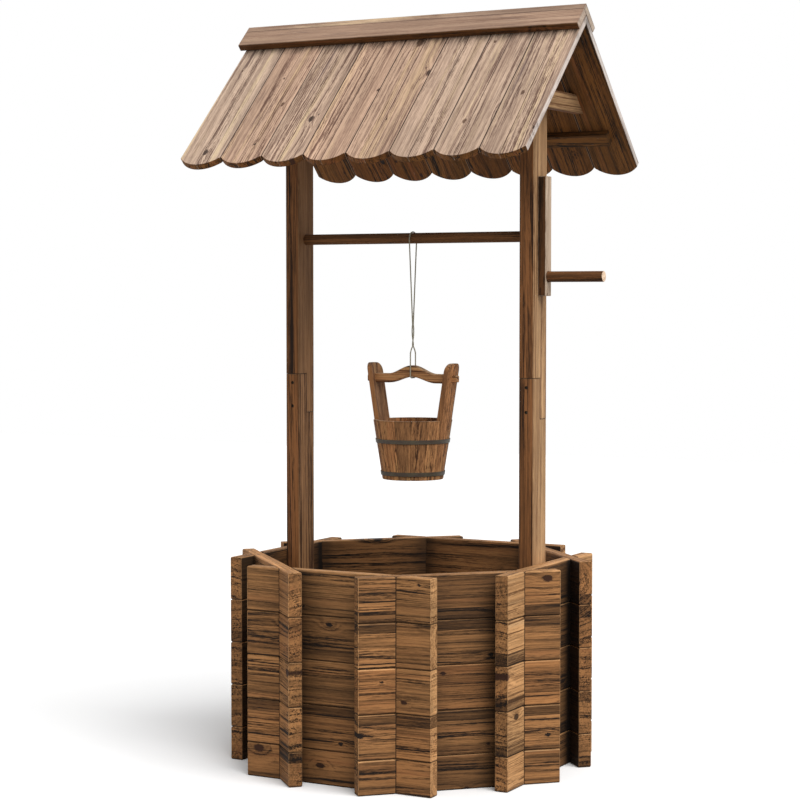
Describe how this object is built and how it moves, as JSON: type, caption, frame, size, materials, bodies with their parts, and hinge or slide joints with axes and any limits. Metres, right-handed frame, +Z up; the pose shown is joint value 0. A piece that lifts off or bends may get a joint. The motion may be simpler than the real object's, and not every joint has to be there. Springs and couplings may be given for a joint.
{
  "type": "wishing well planter",
  "caption": "Garden planter built as a wishing well: octagonal halved-board tub, posts, scalloped gable roof, crank roller and a stave bucket hung on a cord.",
  "frame": {"origin": "on the ground, at the centre of the octagonal planter, on the underside of the middle floor bearer", "axes": "+Z up; X along the roof ridge and the roller, with the crank at +X; -Y is the front slope of the roof"},
  "size_m": [0.9609, 0.8628, 1.7882],
  "materials": {
    "wall_board": "burnt and brushed softwood",
    "floor_board": "sawn softwood",
    "post": "burnt and brushed softwood",
    "roof_board": "pale burnt softwood",
    "ridge_cap": "burnt softwood",
    "roller": "turned dark wood",
    "crank": "burnt softwood",
    "stave": "reddish burnt softwood",
    "hoop": "dull grey-brown steel",
    "cord": "twisted fibre"
  },
  "bodies": {
    "well_frame": {"front_wall_board_1": "wall_board", "front_right_wall_board_1": "wall_board", "right_wall_board_1": "wall_board", "back_right_wall_board_1": "wall_board", "back_wall_board_1": "wall_board", "back_left_wall_board_1": "wall_board", "left_wall_board_1": "wall_board", "front_left_wall_board_1": "wall_board", "front_wall_board_2": "wall_board", "front_right_wall_board_2": "wall_board", "right_wall_board_2": "wall_board", "back_right_wall_board_2": "wall_board", "back_wall_board_2": "wall_board", "back_left_wall_board_2": "wall_board", "left_wall_board_2": "wall_board", "front_left_wall_board_2": "wall_board", "front_wall_board_3": "wall_board", "front_right_wall_board_3": "wall_board", "right_wall_board_3": "wall_board", "back_right_wall_board_3": "wall_board", "back_wall_board_3": "wall_board", "back_left_wall_board_3": "wall_board", "left_wall_board_3": "wall_board", "front_left_wall_board_3": "wall_board", "front_wall_board_4": "wall_board", "front_right_wall_board_4": "wall_board", "right_wall_board_4": "wall_board", "back_right_wall_board_4": "wall_board", "back_wall_board_4": "wall_board", "back_left_wall_board_4": "wall_board", "left_wall_board_4": "wall_board", "front_left_wall_board_4": "wall_board", "front_wall_board_5": "wall_board", "front_right_wall_board_5": "wall_board", "right_wall_board_5": "wall_board", "back_right_wall_board_5": "wall_board", "back_wall_board_5": "wall_board", "back_left_wall_board_5": "wall_board", "left_wall_board_5": "wall_board", "front_left_wall_board_5": "wall_board", "planter_floor": "floor_board", "left_post": "post", "right_post": "post", "left_cross_beam": "post", "right_cross_beam": "post", "front_roof_slope": "roof_board", "back_roof_slope": "roof_board", "front_ridge_cap": "ridge_cap", "back_ridge_cap": "ridge_cap"},
    "windlass": {"roller": "roller", "crank_arm": "crank", "crank_peg": "crank"},
    "cord": {"hanging_cord": "cord"},
    "bucket": {"bucket_tub": "stave", "right_tall_stave": "stave", "left_tall_stave": "stave", "bucket_handle": "stave", "upper_hoop": "hoop", "lower_hoop": "hoop", "cord_sling": "cord"}
  },
  "joints": [
    {"name": "crank_turn", "type": "hinge", "parent": "well_frame", "child": "windlass", "pos_m": [0, 0, 1.2568], "axis": [1, 0, 0], "range_deg": [0, 810]},
    {"name": "bucket_swing", "type": "hinge", "parent": "well_frame", "child": "cord", "pos_m": [0, 0, 1.2568], "axis": [1, 0, 0], "range_deg": [-30, 30]},
    {"name": "bucket_lift", "type": "slide", "parent": "cord", "child": "bucket", "axis": [0, 0, 1], "range_m": [0, 0.2057], "deforming": ["hanging_cord"]}
  ],
  "couplings": [
    {"joint": "bucket_lift", "follows": "crank_turn", "m_per_rad": 0.01455}
  ]
}
